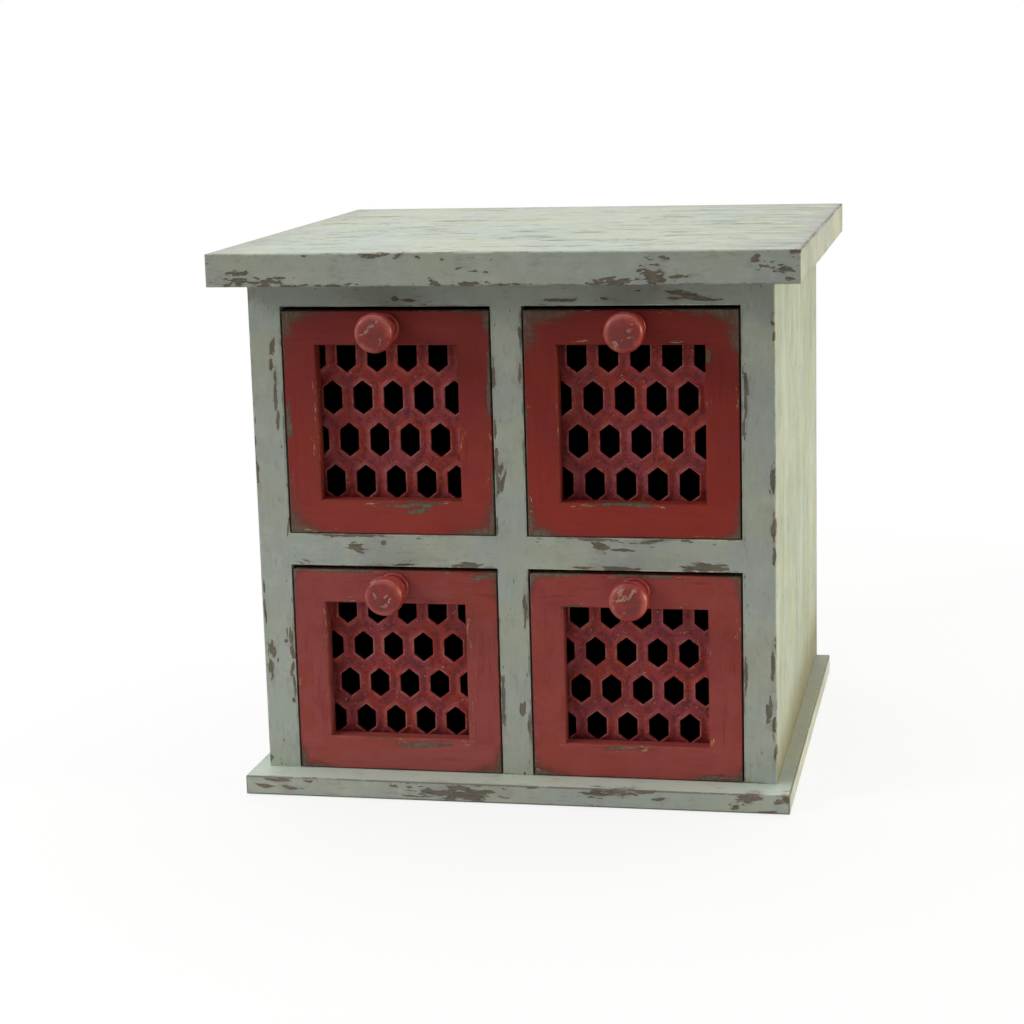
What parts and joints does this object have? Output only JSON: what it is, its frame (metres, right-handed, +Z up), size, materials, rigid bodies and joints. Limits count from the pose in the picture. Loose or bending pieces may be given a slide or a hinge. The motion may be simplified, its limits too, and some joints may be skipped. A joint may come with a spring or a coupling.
{
  "type": "desktop mini drawers",
  "caption": "Small wooden desktop chest with sliding drawers, each with a framed front, a pressed hexagon lattice and a turned knob, under an overhanging top board.",
  "frame": {"origin": "on the table, under the middle of the case, at the underside of the base board", "axes": "+Z up, front and knobs face -Y, drawers open along -Y, +X to the right seen from the front"},
  "size_m": [0.266, 0.265, 0.253],
  "materials": {
    "sage_paint": "matt sage green paint, distressed to grey-brown wood at the edges",
    "red_paint": "satin brick red paint, distressed to olive-brown wood at the edges",
    "red_knob": "glossy coral red paint with chips",
    "dark_stain": "matt dark stain",
    "hardboard": "smooth brown hardboard",
    "zinc": "zinc plated"
  },
  "bodies": {
    "case": {"base_board": "sage_paint", "left_side_panel": "sage_paint", "right_side_panel": "sage_paint", "divider": "sage_paint", "left_shelf": "sage_paint", "right_shelf": "sage_paint", "sub_top": "sage_paint", "top_board": "sage_paint", "back_panel": "hardboard", "base_screws": "zinc", "top_screws": "zinc", "back_pins": "zinc"},
    "upper_left_drawer": {"upper_left_front_frame": "red_paint", "upper_left_lattice": "red_paint", "upper_left_left_side": "dark_stain", "upper_left_right_side": "dark_stain", "upper_left_box_back": "dark_stain", "upper_left_bottom": "dark_stain", "upper_left_knob": "red_knob", "upper_left_knob_screw": "zinc"},
    "upper_right_drawer": {"upper_right_front_frame": "red_paint", "upper_right_lattice": "red_paint", "upper_right_left_side": "dark_stain", "upper_right_right_side": "dark_stain", "upper_right_box_back": "dark_stain", "upper_right_bottom": "dark_stain", "upper_right_knob": "red_knob", "upper_right_knob_screw": "zinc"},
    "lower_left_drawer": {"lower_left_front_frame": "red_paint", "lower_left_lattice": "red_paint", "lower_left_left_side": "dark_stain", "lower_left_right_side": "dark_stain", "lower_left_box_back": "dark_stain", "lower_left_bottom": "dark_stain", "lower_left_knob": "red_knob", "lower_left_knob_screw": "zinc"},
    "lower_right_drawer": {"lower_right_front_frame": "red_paint", "lower_right_lattice": "red_paint", "lower_right_left_side": "dark_stain", "lower_right_right_side": "dark_stain", "lower_right_box_back": "dark_stain", "lower_right_bottom": "dark_stain", "lower_right_knob": "red_knob", "lower_right_knob_screw": "zinc"}
  },
  "joints": [
    {"name": "upper_left_slide", "type": "slide", "parent": "case", "child": "upper_left_drawer", "axis": [0, -1, 0], "range_m": [0, 0.16]},
    {"name": "upper_right_slide", "type": "slide", "parent": "case", "child": "upper_right_drawer", "axis": [0, -1, 0], "range_m": [0, 0.16]},
    {"name": "lower_left_slide", "type": "slide", "parent": "case", "child": "lower_left_drawer", "axis": [0, -1, 0], "range_m": [0, 0.16]},
    {"name": "lower_right_slide", "type": "slide", "parent": "case", "child": "lower_right_drawer", "axis": [0, -1, 0], "range_m": [0, 0.16]}
  ]
}
